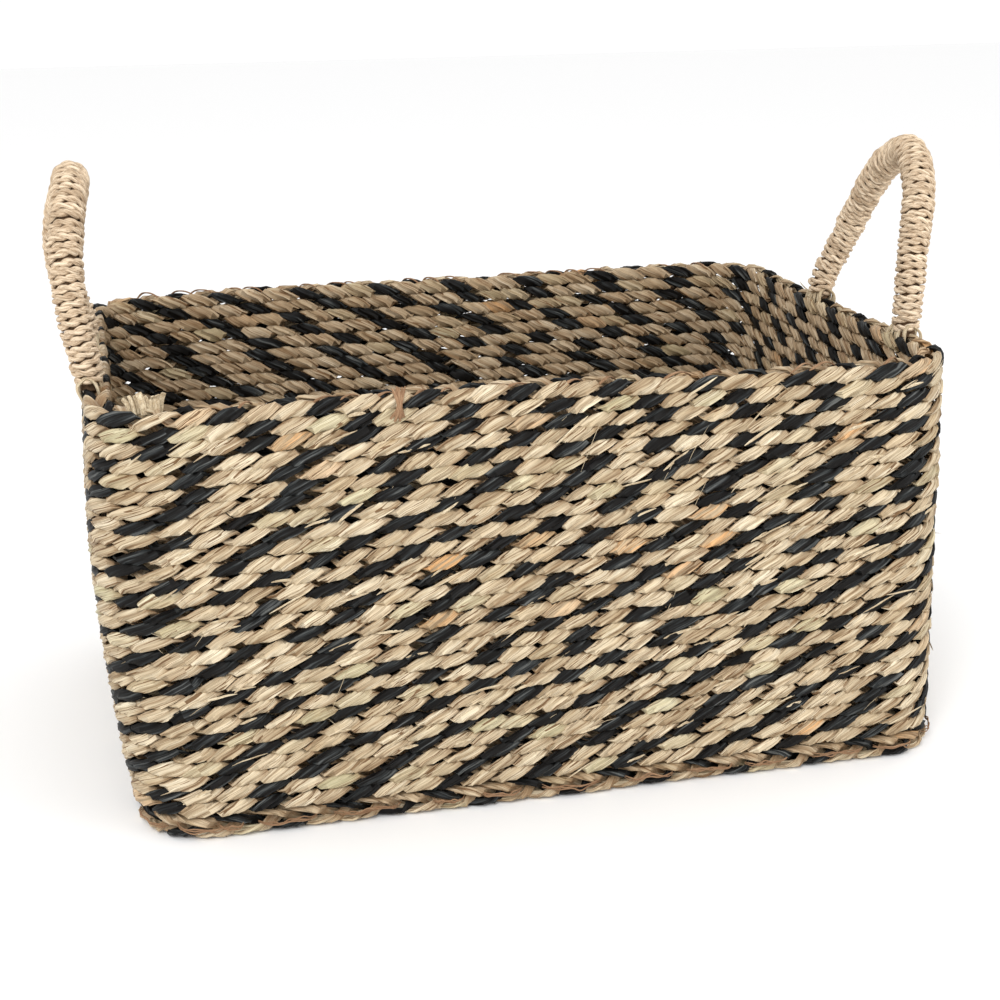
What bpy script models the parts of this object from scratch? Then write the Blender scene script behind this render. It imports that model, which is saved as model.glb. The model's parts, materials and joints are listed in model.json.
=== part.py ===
"""Seagrass storage basket: a plait wound into a base and a wall, with two wrapped rope handles.

Frame: metres, +Z up. The origin is the middle of the base on the surface the basket stands on.
+X runs along the long wall, and the front wall faces -Y.
Every turn of the plait is a solid of its own. Each handle tilts on its two lashings.
"""

import math

import bpy

# Driving dimensions of the body
RIM_WIDTH = 0.400
RIM_DEPTH = 0.278
RIM_HEIGHT = 0.202
CORNER_RADIUS = 0.033
PLAIT_WIDTH = 0.0123
WALL_TURNS = 28
BASE_TURNS = 18
GAP = 0.0003

# The hand-made body isn't square: its left foot tucks in, its right foot spreads a little
LEFT_TUCK = 0.0135
RIGHT_SPREAD = 0.005
END_TUCK = 0.0035
TUCK_POWER = 2.5
CORNER_SEGMENTS = 4

# Driving dimensions of the handles
HANDLE_RADIUS = 0.0083
HANDLE_FOOT_RADIUS = 0.0070
WRAP_THICKNESS = 0.0022
HANDLE_CENTRE_Y = -0.027
HANDLE_HALF_SPAN = 0.052
HANDLE_RISE = 0.077
HANDLE_FORWARD = 0.004
ARCH_POWER = 1.7
ARCH_POINTS = 21
PIVOT_ABOVE_RIM = 0.0080
PIVOT_INSIDE_EDGE = 0.0030
LEFT_LEAN_DEG = 0.5
LEFT_BOWS = (0.0048, 0.0090)
RIGHT_LEAN_DEG = 14.0
RIGHT_BOWS = (-0.0045, 0.0045)

# Lashings, stitching and the cut end of the plait
LASHING_THICKNESS = 0.0014
LASHING_WIDTH = 0.0150
LASHING_LEG = 0.0110
STITCH_RADIUS = 0.0007
STITCH_INSET = 0.0030
STITCH_TO_LASHING = 0.0060
PLAIT_END_SIZE = (0.0140, 0.0045, 0.0050)
PLAIT_END_FROM_LEFT = 0.0300
PLAIT_END_INSET = 0.0105

# Worked out from the dimensions above
BASE_HALF_WIDTH = (RIM_WIDTH - LEFT_TUCK + RIGHT_SPREAD) / 2
BASE_HALF_DEPTH = RIM_DEPTH / 2 - END_TUCK
BASE_PITCH = BASE_HALF_DEPTH / (BASE_TURNS + 0.5)
SMALLEST_CORNER = 0.45 * BASE_PITCH
WALL_PITCH = (RIM_HEIGHT - PLAIT_WIDTH) / WALL_TURNS
PIVOT_HEIGHT = RIM_HEIGHT + PIVOT_ABOVE_RIM


def clear_scene():
    for thing in list(bpy.data.objects):
        bpy.data.objects.remove(thing, do_unlink=True)


def new_collection(name):
    collection = bpy.data.collections.new(name)
    bpy.context.scene.collection.children.link(collection)
    return collection


def new_material(name, colour, roughness):
    material = bpy.data.materials.new(name)
    material.use_nodes = True
    shader = material.node_tree.nodes["Principled BSDF"]
    shader.inputs["Base Color"].default_value = (*colour, 1.0)
    shader.inputs["Roughness"].default_value = roughness
    shader.inputs["Metallic"].default_value = 0.0
    return material


def add_object(collection, name, data, material, location=(0.0, 0.0, 0.0)):
    item = bpy.data.objects.new(name, data)
    item.location = location
    item.data.materials.append(material)
    collection.objects.link(item)
    return item


def add_poly_spline(curve, points, cyclic):
    spline = curve.splines.new("POLY")
    spline.points.add(len(points) - 1)
    for spline_point, point in zip(spline.points, points):
        spline_point.co = (*point, 1.0)
    spline.use_cyclic_u = cyclic
    return spline


def add_plate(collection, name, outlines, thickness, material, location):
    """A flat solid, centred on its location. A second outline is a hole in the first."""
    curve = bpy.data.curves.new(name, "CURVE")
    curve.dimensions = "2D"
    curve.fill_mode = "BOTH"
    curve.extrude = thickness / 2
    for outline in outlines:
        add_poly_spline(curve, [(x, y, 0.0) for x, y in outline], cyclic=True)
    return add_object(collection, name, curve, material, location)


def add_rod(collection, name, points, radius, material, sides=6, widths=None, cyclic=False):
    """A round rod along the points, with filled ends. widths scale the radius at each point."""
    curve = bpy.data.curves.new(name, "CURVE")
    curve.dimensions = "3D"
    curve.bevel_depth = radius
    curve.bevel_resolution = (sides - 4) // 2
    curve.use_fill_caps = True
    spline = add_poly_spline(curve, points, cyclic)
    if widths is not None:
        spline.points.foreach_set("radius", widths)
    return add_object(collection, name, curve, material)


def rounded_rectangle(left, right, half_depth, radius):
    """Corner points of a rectangle with round corners, anticlockwise from the right end of the front."""
    centres = [
        (right - radius, radius - half_depth, -90),
        (right - radius, half_depth - radius, 0),
        (left + radius, half_depth - radius, 90),
        (left + radius, radius - half_depth, 180),
    ]
    points = []
    for centre_x, centre_y, start in centres:
        for step in range(CORNER_SEGMENTS + 1):
            angle = math.radians(start + 90 * step / CORNER_SEGMENTS)
            points.append((centre_x + radius * math.cos(angle), centre_y + radius * math.sin(angle)))
    return points


def wall_limits(height):
    """Left and right faces and half depth of the outside of the body at a height."""
    depth_below_rim = 1 - height / RIM_HEIGHT
    left = -BASE_HALF_WIDTH - LEFT_TUCK * (1 - depth_below_rim ** TUCK_POWER)
    right = BASE_HALF_WIDTH - RIGHT_SPREAD * (1 - depth_below_rim)
    half_depth = RIM_DEPTH / 2 - END_TUCK * depth_below_rim ** TUCK_POWER
    return left, right, half_depth


def body_outline(height, inset):
    """The body's outline at a height, moved inwards by an inset."""
    left, right, half_depth = wall_limits(height)
    radius = max(CORNER_RADIUS - inset, SMALLEST_CORNER)
    return rounded_rectangle(left + inset, right - inset, half_depth - inset, radius)


def add_wall_turns(collection, material):
    """One ring for each turn of the plait, stacked with flat faces together."""
    for turn in range(WALL_TURNS):
        middle = PLAIT_WIDTH + (turn + 0.5) * WALL_PITCH
        outlines = [body_outline(middle, 0.0), body_outline(middle, PLAIT_WIDTH)]
        name = f"wall_turn_{turn + 1:02d}"
        add_plate(collection, name, outlines, WALL_PITCH - GAP, material, (0.0, 0.0, middle))


def add_base_turns(collection, material):
    """The base: the plait stands on edge, each turn inside the last, around a straight centre strip."""
    location = (0.0, 0.0, (PLAIT_WIDTH - GAP) / 2)
    for turn in range(BASE_TURNS):
        outer_inset = turn * BASE_PITCH
        inner_inset = outer_inset + BASE_PITCH - GAP
        outlines = [body_outline(0.0, outer_inset), body_outline(0.0, inner_inset)]
        name = f"base_turn_{turn + 1:02d}"
        add_plate(collection, name, outlines, PLAIT_WIDTH - GAP, material, location)
    strip = body_outline(0.0, BASE_TURNS * BASE_PITCH)
    add_plate(collection, "base_centre_strip", [strip], PLAIT_WIDTH - GAP, material, location)


def arch_rise(step):
    """How far up a handle's arch a step is, 0 at the feet and 1 at the top."""
    return abs(math.sin(math.pi * step)) ** (2 / ARCH_POWER)


def arch_point(step, lean, bows, outward):
    """A point on a handle's centre line, from its pivot: step 0 is the front foot, 1 the rear one.

    bows is how far the front and the rear leg bend outwards half way up.
    """
    cosine = math.cos(math.pi * step)
    along = -math.copysign(abs(cosine) ** (2 / ARCH_POWER), cosine)
    rise = arch_rise(step)
    height = HANDLE_RISE * rise
    bow = bows[0] * (1 - along) / 2 + bows[1] * (1 + along) / 2
    out = height * math.sin(lean) + bow * math.sin(math.pi * rise)
    return (outward * out, HANDLE_HALF_SPAN * along - HANDLE_FORWARD * rise, height * math.cos(lean))


def handle_radius(step):
    """The outer radius of a handle, which is thinner at its feet."""
    return HANDLE_FOOT_RADIUS + (HANDLE_RADIUS - HANDLE_FOOT_RADIUS) * arch_rise(step)


def add_handle(collection, side, outward, lean_deg, bows, core_material, wrap_material):
    """A rope core inside a wound sleeve. Both hang on an empty on the line through the handle's feet."""
    left, right, _ = wall_limits(RIM_HEIGHT)
    edge = right if outward > 0 else left
    pivot = bpy.data.objects.new(f"{side}_handle_pivot", None)
    pivot.location = (edge - outward * PIVOT_INSIDE_EDGE, HANDLE_CENTRE_Y, PIVOT_HEIGHT)
    collection.objects.link(pivot)
    lean = math.radians(lean_deg)
    steps = [i / (ARCH_POINTS - 1) for i in range(ARCH_POINTS)]
    arch = [arch_point(step, lean, bows, outward) for step in steps]

    core_radius = HANDLE_FOOT_RADIUS - WRAP_THICKNESS - GAP
    core_widths = [(handle_radius(step) - WRAP_THICKNESS - GAP) / core_radius for step in steps]
    core = add_rod(collection, f"{side}_handle_core", arch, core_radius, core_material, 8, core_widths)
    round_rod_ends(core, core_radius)
    core.parent = pivot

    wrap_widths = [handle_radius(step) / HANDLE_FOOT_RADIUS for step in steps]
    wrap = add_rod(
        collection, f"{side}_handle_wrap", arch, HANDLE_FOOT_RADIUS, wrap_material, 10, wrap_widths
    )
    wrap.data.use_fill_caps = False
    sleeve = wrap.modifiers.new("sleeve", "SOLIDIFY")
    sleeve.thickness = WRAP_THICKNESS
    sleeve.offset = -1.0
    wrap.parent = pivot


def round_rod_ends(rod, radius):
    """Adds a half ball below each foot of a rod, centred on the foot."""
    arch = [tuple(point.co[:3]) for point in rod.data.splines[0].points]
    arch_widths = [point.radius for point in rod.data.splines[0].points]
    rings = [(math.sin(math.radians(a)), math.cos(math.radians(a))) for a in (80, 55, 30)]
    front = [(arch[0][0], arch[0][1], arch[0][2] - radius * drop) for drop, _ in rings]
    rear = [(arch[-1][0], arch[-1][1], arch[-1][2] - radius * drop) for drop, _ in reversed(rings)]
    rod.data.splines.clear()
    end_widths = [width for _, width in rings]
    spline = add_poly_spline(rod.data, front + arch + rear, cyclic=False)
    spline.points.foreach_set("radius", end_widths + arch_widths + end_widths[::-1])


def add_lashing(collection, name, outward, along_y, material):
    """A flat binding over the rim under a handle's foot, in the shape of a staple."""
    height = PLAIT_WIDTH + (WALL_TURNS - 1.5) * WALL_PITCH
    left, right, _ = wall_limits(height)
    rim_left, rim_right, _ = wall_limits(RIM_HEIGHT)
    face, rim_face = (right, rim_right) if outward > 0 else (left, rim_left)
    widest = max(abs(face), abs(rim_face)) + 2 * GAP
    narrowest = min(abs(face), abs(rim_face)) - PLAIT_WIDTH - 2 * GAP
    top = RIM_HEIGHT + GAP
    foot = RIM_HEIGHT - LASHING_LEG
    outline = [
        (narrowest - LASHING_THICKNESS, foot),
        (narrowest, foot),
        (narrowest, top),
        (widest, top),
        (widest, foot),
        (widest + LASHING_THICKNESS, foot),
        (widest + LASHING_THICKNESS, top + LASHING_THICKNESS),
        (narrowest - LASHING_THICKNESS, top + LASHING_THICKNESS),
    ]
    mirrored = [(outward * x, z) for x, z in outline]
    lashing = add_plate(collection, name, [mirrored], LASHING_WIDTH, material, (0.0, along_y, 0.0))
    lashing.rotation_euler = (math.pi / 2, 0.0, 0.0)


def add_lashings(collection, material):
    for side, outward in (("left", -1), ("right", 1)):
        for end, direction in (("front", -1), ("rear", 1)):
            along_y = HANDLE_CENTRE_Y + direction * HANDLE_HALF_SPAN
            add_lashing(collection, f"{side}_{end}_lashing", outward, along_y, material)


def add_rim_stitching(collection, name, direction, material):
    """Twine over the top turn between the two handles' lashings, round the front (-1) or the rear (1)."""
    height = RIM_HEIGHT + GAP + STITCH_RADIUS
    outline = body_outline(RIM_HEIGHT, STITCH_INSET)
    foot = HANDLE_CENTRE_Y + direction * HANDLE_HALF_SPAN
    end_y = foot + direction * (LASHING_WIDTH / 2 + STITCH_TO_LASHING)
    per_corner = CORNER_SEGMENTS + 1
    if direction < 0:
        corners = outline[-per_corner:] + outline[:per_corner]
    else:
        corners = outline[per_corner:3 * per_corner]
    points = [(corners[0][0], end_y), *corners, (corners[-1][0], end_y)]
    add_rod(collection, name, [(x, y, height) for x, y in points], STITCH_RADIUS, material)


def add_base_stitching(collection, material):
    """Twine round the foot of the body, over the joint between the base and the wall."""
    outline = body_outline(PLAIT_WIDTH, -(2 * GAP + STITCH_RADIUS))
    points = [(x, y, PLAIT_WIDTH) for x, y in outline]
    add_rod(collection, "base_stitching", points, STITCH_RADIUS, material, cyclic=True)


def add_plait_end(collection, material):
    """The cut end of the wound plait, which stands on the rim at the front left corner."""
    length, width, rise = PLAIT_END_SIZE
    left, _, half_depth = wall_limits(RIM_HEIGHT)
    outline = [
        (-length / 2, 0.0),
        (length / 2, 0.0),
        (length / 2, rise * 0.7),
        (length / 4, rise),
        (-length / 3, rise),
        (-length / 2, rise * 0.8),
    ]
    location = (left + PLAIT_END_FROM_LEFT, PLAIT_END_INSET - half_depth, RIM_HEIGHT + GAP)
    end = add_plate(collection, "plait_end_tuft", [outline], width, material, location)
    end.rotation_euler = (math.pi / 2, 0.0, 0.0)


def main():
    clear_scene()
    parts = new_collection("seagrass_storage_basket")
    plait = new_material("seagrass_plait", (0.40, 0.31, 0.19), 0.75)
    rope = new_material("handle_rope_core", (0.30, 0.22, 0.13), 0.85)
    twine = new_material("handle_twine", (0.62, 0.48, 0.31), 0.70)
    raffia = new_material("stitching_raffia", (0.33, 0.20, 0.11), 0.80)

    add_base_turns(parts, plait)
    add_wall_turns(parts, plait)
    add_handle(parts, "left", -1, LEFT_LEAN_DEG, LEFT_BOWS, rope, twine)
    add_handle(parts, "right", 1, RIGHT_LEAN_DEG, RIGHT_BOWS, rope, twine)
    add_lashings(parts, twine)
    add_rim_stitching(parts, "front_rim_stitching", -1, raffia)
    add_rim_stitching(parts, "rear_rim_stitching", 1, raffia)
    add_base_stitching(parts, raffia)
    add_plait_end(parts, plait)


main()
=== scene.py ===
"""The looks of the seagrass storage basket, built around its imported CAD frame.

Every turn of the body becomes a flat three-strand plait with real strands: two natural and one black.
The handles become ropes wound with two-ply twine, bound to the rim by lashings.
"""

import json
import math

import bpy
import numpy as np
from mathutils import Matrix, Vector


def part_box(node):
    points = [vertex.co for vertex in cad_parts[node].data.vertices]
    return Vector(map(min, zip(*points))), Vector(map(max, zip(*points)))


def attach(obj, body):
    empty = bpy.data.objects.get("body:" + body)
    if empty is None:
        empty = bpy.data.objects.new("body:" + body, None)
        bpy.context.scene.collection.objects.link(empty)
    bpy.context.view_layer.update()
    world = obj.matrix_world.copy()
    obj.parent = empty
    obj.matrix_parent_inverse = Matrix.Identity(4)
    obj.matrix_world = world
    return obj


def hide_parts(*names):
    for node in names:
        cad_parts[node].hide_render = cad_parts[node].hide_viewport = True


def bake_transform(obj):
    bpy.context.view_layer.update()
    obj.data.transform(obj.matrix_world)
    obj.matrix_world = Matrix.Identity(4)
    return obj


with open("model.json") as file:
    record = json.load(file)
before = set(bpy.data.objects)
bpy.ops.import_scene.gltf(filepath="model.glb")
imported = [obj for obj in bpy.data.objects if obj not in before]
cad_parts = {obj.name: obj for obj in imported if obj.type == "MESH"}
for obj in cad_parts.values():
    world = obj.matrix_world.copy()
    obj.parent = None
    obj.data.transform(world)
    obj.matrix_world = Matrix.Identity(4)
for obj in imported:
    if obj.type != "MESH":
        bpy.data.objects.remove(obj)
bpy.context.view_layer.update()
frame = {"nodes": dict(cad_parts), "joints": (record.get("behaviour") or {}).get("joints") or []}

# The plait, in metres. A leaf is the part of a strand that shows on one edge of the plait.
LEAF_PITCH = 0.0145
PERIOD = 3 * LEAF_PITCH
STRAND_HALF_WIDTH = 0.0036
STRAND_HALF_THICKNESS = 0.0011
ROWS_OVERLAP = 0.00075
EDGE_ROUNDING = 0.0013
LEAF_OVERLAP = 0.0016
ROW_WANDER = 0.00013
CREASE = 0.00040

# The turns, in metres
CORNER_RADIUS = 0.033
SMALLEST_CORNER = 0.0052
BASE_CLEARANCE = 0.0012
LEFT_BULGE = 0.0044

# A leaf's path: its slope in the middle of the edge, as a share of the mean slope. In shares of the leaf:
# where it is level with its neighbours, how much of each end dips under, and over how much its values change
LEAF_SLOPE = 0.68
LEVEL_SHARE = 0.35
DIP_SHARE = 0.16
CHANGE_SHARE = 0.12

# The size of the black strand and of the natural ones, and how strong the painted brown shade on the inside
# of the basket is
BLACK_BULK = 0.87
NATURAL_BULK = 1.02
INSIDE_PAINTED_SHADE = 0.68

# How far the pattern moves from each turn to the next, in periods, and where along the rim the knot is
SHIFT_PER_TURN = 0.42
KNOT_ALONG = 0.331

# Points along one period of a strand and round it, the black strand's number, and how many loose straws
POINTS_PER_PERIOD = 16
POINTS_ROUND = 16
BLACK_STRAND = 0
LOOSE_STRAWS = 560

# Which of a leaf's random values is used for what. The second one is spare.
LEAF_VALUES = 6
ALONG_ROW, THICKNESS, UP_THE_ROW, CLIMB, WIDTH = 0, 2, 3, 4, 5
SEED = 7301

# A strand's section is a rectangle with round corners, and is brown at its edges
SECTION_ANGLE = 2 * math.pi * np.arange(POINTS_ROUND) / POINTS_ROUND
SECTION_SIDE = np.sign(np.cos(SECTION_ANGLE)) * np.abs(np.cos(SECTION_ANGLE)) ** 0.75
SECTION_FACE = np.sign(np.sin(SECTION_ANGLE)) * np.abs(np.sin(SECTION_ANGLE)) ** 0.55
SECTION_EDGE = 0.84 * np.abs(np.cos(SECTION_ANGLE)) ** 8

WALL_TURNS = sorted(name for name in frame["nodes"] if name.startswith("wall_turn_"))
BASE_TURNS = sorted(name for name in frame["nodes"] if name.startswith("base_turn_"))

# The handles' arches, as the CAD has them: outward side, lean, and the bows of the front and rear leg
HANDLES = {
    "left": (-1, math.radians(0.5), (0.0048, 0.0090)),
    "right": (1, math.radians(14.0), (-0.0045, 0.0045)),
}
HANDLE_HALF_SPAN = 0.052
HANDLE_RISE = 0.077
HANDLE_FORWARD = 0.004
ARCH_POWER = 1.7
HANDLE_RADIUS = 0.0083
HANDLE_FOOT_RADIUS = 0.0070
FOOT_DROP = 0.0071

# The two-ply twine round the handles. The wrap is narrower over a short length at its ends.
TWINE_PITCH = 0.0036
TWINE_RADIUS = 0.0019
PLY_RADIUS = 0.00118
PLY_OFFSET = 0.00088
PLY_TWIST = 0.0125
SHADE_LENGTH = 0.03
WRAP_END_LENGTH = 0.004
WRAP_END_SHARE = 0.72
SAMPLES_PER_TURN = 46

# The camera: its place beside the point on the ground under the middle of the rim, its angles and its lens
CAMERA_FROM_RIM = Vector((-0.191, -0.8545, 0.383))
CAMERA_YAW = math.radians(13.14)
CAMERA_PITCH = math.radians(17.45)
CAMERA_ROLL = math.radians(-0.76)
CAMERA_LENS = 62.6


# ---------------------------------------- outlines


def walk_outline(low, high, radius, distances):
    """Points, tangents and outward normals on a rectangle with round corners, at distances along it.

    The walk starts at the left end of the straight part of the front and goes anticlockwise.
    """
    width = high[0] - low[0] - 2 * radius
    depth = high[1] - low[1] - 2 * radius
    quarter = math.pi / 2 * radius
    legs = [
        (width, (low[0] + radius, low[1]), 0),
        (quarter, (high[0] - radius, low[1] + radius), 0),
        (depth, (high[0], low[1] + radius), 90),
        (quarter, (high[0] - radius, high[1] - radius), 90),
        (width, (high[0] - radius, high[1]), 180),
        (quarter, (low[0] + radius, high[1] - radius), 180),
        (depth, (low[0], high[1] - radius), 270),
        (quarter, (low[0] + radius, low[1] + radius), 270),
    ]
    total = 2 * width + 2 * depth + 4 * quarter
    walked = np.mod(distances, total)
    points = np.zeros((len(walked), 2))
    tangents = np.zeros((len(walked), 2))
    start = 0.0
    for index, (length, origin, degrees) in enumerate(legs):
        inside = (walked >= start) & (walked <= start + length)
        along = walked[inside] - start
        if index % 2 == 0:
            direction = np.array([math.cos(math.radians(degrees)), math.sin(math.radians(degrees))])
            points[inside] = np.array(origin) + along[:, None] * direction
            tangents[inside] = direction
        else:
            angle = math.radians(degrees) + along / radius
            points[inside] = np.array(origin) + radius * np.stack([np.sin(angle), -np.cos(angle)], 1)
            tangents[inside] = np.stack([np.cos(angle), np.sin(angle)], 1)
        start += length
    normals = np.stack([tangents[:, 1], -tangents[:, 0]], 1)
    return points, tangents, normals


def outline_length(low, high, radius):
    return 2 * (high[0] - low[0] + high[1] - low[1] - 4 * radius) + 2 * math.pi * radius


# ---------------------------------------- meshes


def normalised(vectors):
    return vectors / np.maximum(np.linalg.norm(vectors, axis=1, keepdims=True), 1e-12)


def tube_faces(count, around):
    """Quads between a number of rings, each with a number of points around."""
    ring, here = np.meshgrid(np.arange(count - 1) * around, np.arange(around), indexing="ij")
    beside = (here + 1) % around
    quads = np.stack([ring + here, ring + around + here, ring + around + beside, ring + beside], -1)
    return quads.reshape(-1, 4)


class MeshParts:
    """Collects points, faces and values for the points, and makes one object of them."""

    def __init__(self):
        self.points = []
        self.faces = []
        self.values = {}
        self.count = 0

    def add_tube(self, rings, closed=False, **values):
        """Rings have the shape (rings, around, 3). An open tube gets flat ends. The last ring of a closed
        tube lies on its first."""
        count, around = rings.shape[:2]
        faces = tube_faces(count, around).tolist()
        if not closed:
            faces.append(list(range(around)))
            faces.append(list(range(count * around - 1, (count - 1) * around - 1, -1)))
        base = self.count
        self.points.append(rings.reshape(-1, 3))
        self.faces.extend([index + base for index in face] for face in faces)
        self.count += count * around
        for name, value in values.items():
            self.values.setdefault(name, []).append(value.reshape(count * around, -1))

    def build(self, name, material, sharp_degrees=31):
        mesh = bpy.data.meshes.new(name)
        mesh.from_pydata(np.concatenate(self.points).tolist(), [], self.faces)
        for value_name, values in self.values.items():
            data = np.concatenate(values).astype(np.float32)
            if data.shape[1] == 1:
                layer = mesh.attributes.new(value_name, "FLOAT", "POINT")
                layer.data.foreach_set("value", data.ravel())
            else:
                layer = mesh.attributes.new(value_name, "FLOAT_VECTOR", "POINT")
                layer.data.foreach_set("vector", data.ravel())
        mesh.shade_smooth()
        mesh.set_sharp_from_angle(angle=math.radians(sharp_degrees))
        mesh.materials.append(material)
        mesh.update()
        item = bpy.data.objects.new(name, mesh)
        bpy.context.scene.collection.objects.link(item)
        return item


def finish_piece(piece, body, slot, *nodes):
    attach(piece, body)
    if nodes:
        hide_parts(*nodes)


# ---------------------------------------- the plait


class PlaitCourse:
    """One turn of plait: a closed line, with the directions of the plait's width and thickness along it."""

    def __init__(self, length, place, shift, seed, half_width, half_height):
        self.periods = max(3, round(length / PERIOD))
        self.length = length
        self.place = place
        self.shift = shift
        self.random = np.random.default_rng(seed)
        self.reach = half_width - STRAND_HALF_THICKNESS
        self.half_height = half_height - STRAND_HALF_THICKNESS + ROWS_OVERLAP
        self.corner = min(EDGE_ROUNDING, self.half_height)
        self.way_round = self.reach + self.half_height + (math.pi / 2 - 2) * self.corner
        self.waves = []
        for number in range(6, 26, 3):
            self.waves.append((number, self.random.normal(0, ROW_WANDER), self.random.uniform(0, 6.28)))

    def leaf_values(self, half, spread, count):
        """Random values that hold for a leaf and change where the strand dips under at the middle."""
        leaves = 2 * self.periods
        table = self.random.normal(0, spread, (leaves, count))
        here = np.floor(half).astype(int)
        blend = np.clip((half - here - 1 + CHANGE_SHARE) / CHANGE_SHARE, 0, 1)
        blend = (blend * blend * (3 - 2 * blend))[:, None]
        return table[here % leaves] * (1 - blend) + table[(here + 1) % leaves] * blend

    def drift(self, samples, size, waves):
        """A slow random wave round the whole turn."""
        turn = np.linspace(0, 2 * math.pi, samples)
        total = np.zeros(samples)
        for wave in range(1, waves + 1):
            total += self.random.normal(0, 1 / wave) * np.sin(wave * turn + self.random.uniform(0, 6.28))
        return total * size

    def wander(self, along):
        """How far the turn strays up and down on its own, at distances along it."""
        turn = along / self.length * 2 * math.pi
        return sum(size * np.sin(number * turn + start) for number, size, start in self.waves)

    def on_edge(self, around, lift):
        """Where a way round the plait's edge from its middle is: (sideways, up), lifted off the surface.

        around is 0 in the middle of the edge, and grows over the corner on to the top face.
        """
        size = np.abs(around)
        flat = self.half_height - self.corner
        turned = np.clip((size - flat) / self.corner, 0, math.pi / 2)
        past = np.maximum(size - flat - self.corner * math.pi / 2, 0)
        sideways = self.reach - self.corner - past + (self.corner + lift) * np.cos(turned)
        up = np.minimum(size, flat) + (self.corner + lift) * np.sin(turned)
        return sideways, np.sign(around) * up

    def on_leaf(self, part, side, across, lift, leaf, distance):
        """Points of the strand for one leaf: part is 0 where it comes up in the middle of the underside and
        1 where it dips in the middle of the top. Side is 1 for the plait's outer edge, -1 for the inner."""
        middle_out = (2 * part - 1)[:, None]
        climb = self.way_round * (1 + 0.08 * leaf[:, CLIMB, None])
        around = climb * middle_out * (LEAF_SLOPE + (1 - LEAF_SLOPE) * middle_out ** 2)
        steepness = LEAF_SLOPE + 3 * (1 - LEAF_SLOPE) * middle_out ** 2
        slant = np.arctan(climb * steepness * 4 * self.periods / self.length)
        around = around + across * np.cos(slant) + leaf[:, UP_THE_ROW, None] * 0.00045
        overlap = LEAF_OVERLAP * (LEVEL_SHARE - part[:, None])
        sideways, up = self.on_edge(around, lift + overlap)
        return side[:, None] * sideways, up, distance[:, None] - across * np.sin(slant)

    def strands(self):
        """The mesh parts of the turn's three strands."""
        parts = MeshParts()
        samples = self.periods * POINTS_PER_PERIOD + 1
        drift = self.drift(samples, 0.27, 9)
        for strand in range(3):
            self.add_strand(parts, strand, samples, drift)
        return parts

    def section(self, strand, half, leaf, emphasis):
        """How far the points of a strand's section are from its middle line: across it, and off its face."""
        ridge = self.leaf_values(half, 0.55, POINTS_ROUND)
        ridge += np.where(np.arange(POINTS_ROUND) % 2 == 0, 0.8, -0.8)
        bulk = BLACK_BULK if strand == BLACK_STRAND else NATURAL_BULK
        half_width = STRAND_HALF_WIDTH * bulk * (0.80 + 0.22 * emphasis) * (1 + 0.13 * leaf[:, WIDTH])
        half_thickness = STRAND_HALF_THICKNESS * bulk * (1 + 0.08 * leaf[:, THICKNESS])
        across = half_width[:, None] * SECTION_SIDE + 0.4 * CREASE * ridge * SECTION_SIDE
        lift = half_thickness[:, None] * SECTION_FACE * (1 - 0.25 * SECTION_SIDE ** 2)
        return across, lift + CREASE * ridge * SECTION_FACE

    def add_strand(self, parts, strand, samples, drift):
        """One closed strand, with the values that the seagrass material reads."""
        share = np.linspace(0, 1, samples)
        half = 2 * (self.periods * share + strand / 3 - self.shift) + drift
        whole = np.floor(half)
        part = half - whole
        leaf = self.leaf_values(half, 1.0, LEAF_VALUES)
        emphasis = np.sin(math.pi * part) ** 2
        distance = share * self.length + leaf[:, ALONG_ROW] * 0.0010 * emphasis
        across, lift = self.section(strand, half, leaf, emphasis)

        # Near the middle of the plait the strand passes from one leaf's path to the next one's
        outer = np.where(whole % 2 == 0, 1.0, -1.0)
        first = self.on_leaf(part, outer, across, lift, leaf, distance)
        step = np.where(part > 0.5, 1.0, -1.0)
        second = self.on_leaf(part - step, -outer, across, lift, leaf, distance)
        near = np.clip(1 - np.minimum(part, 1 - part) / DIP_SHARE, 0, 1)
        weight = (0.5 * near * near * (3 - 2 * near))[:, None]
        sideways, up, along = (one * (1 - weight) + two * weight for one, two in zip(first, second))

        up = up + self.wander(along)
        middle, out, rise = self.place(along.ravel())
        points = middle + sideways.reshape(-1, 1) * out + up.reshape(-1, 1) * rise
        rings = points.reshape(samples, POINTS_ROUND, 3)

        # The material gets painted brown shade where the strand is tucked under others and inside the
        # basket, and is brown at its edges
        tucked_painted_shade = np.clip(np.maximum(1 - part / 0.22, (part - 0.52) / 0.44), 0, 1)
        depth = np.maximum(tucked_painted_shade[:, None], SECTION_EDGE)
        depth = np.maximum(depth, INSIDE_PAINTED_SHADE * np.clip(-sideways / self.reach, 0, 1))
        black = np.full((samples, POINTS_ROUND), 1.0 if strand == BLACK_STRAND else 0.0)
        tint = np.repeat(leaf[:, None, THICKNESS], POINTS_ROUND, 1)
        hue = np.repeat(leaf[:, None, CLIMB], POINTS_ROUND, 1)
        grain = np.zeros((samples, POINTS_ROUND, 3))
        grain[..., 0] = across + 0.02 * self.random.integers(0, 1000)
        grain[..., 1] = (share * self.length)[:, None]
        grain[..., 2] = np.sign(SECTION_FACE) * 0.5 + strand * 3.0
        parts.add_tube(rings, closed=True, black=black, tint=tint, hue=hue, depth=depth, grain=grain)


def wall_place(low, high, radius, height, sag):
    """Where the middle line of a wall turn is, with its width pointing out and its thickness up."""
    length = outline_length(low, high, radius)

    def place(distance):
        points, _, normals = walk_outline(low, high, radius, distance)
        wave = sag(distance / length)
        middle = np.column_stack([points, np.full(len(points), height)]) + wave
        out = np.column_stack([normals, np.zeros(len(points))])
        up = np.tile([0.0, 0.0, 1.0], (len(points), 1))
        return middle, out, up

    return place


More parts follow.
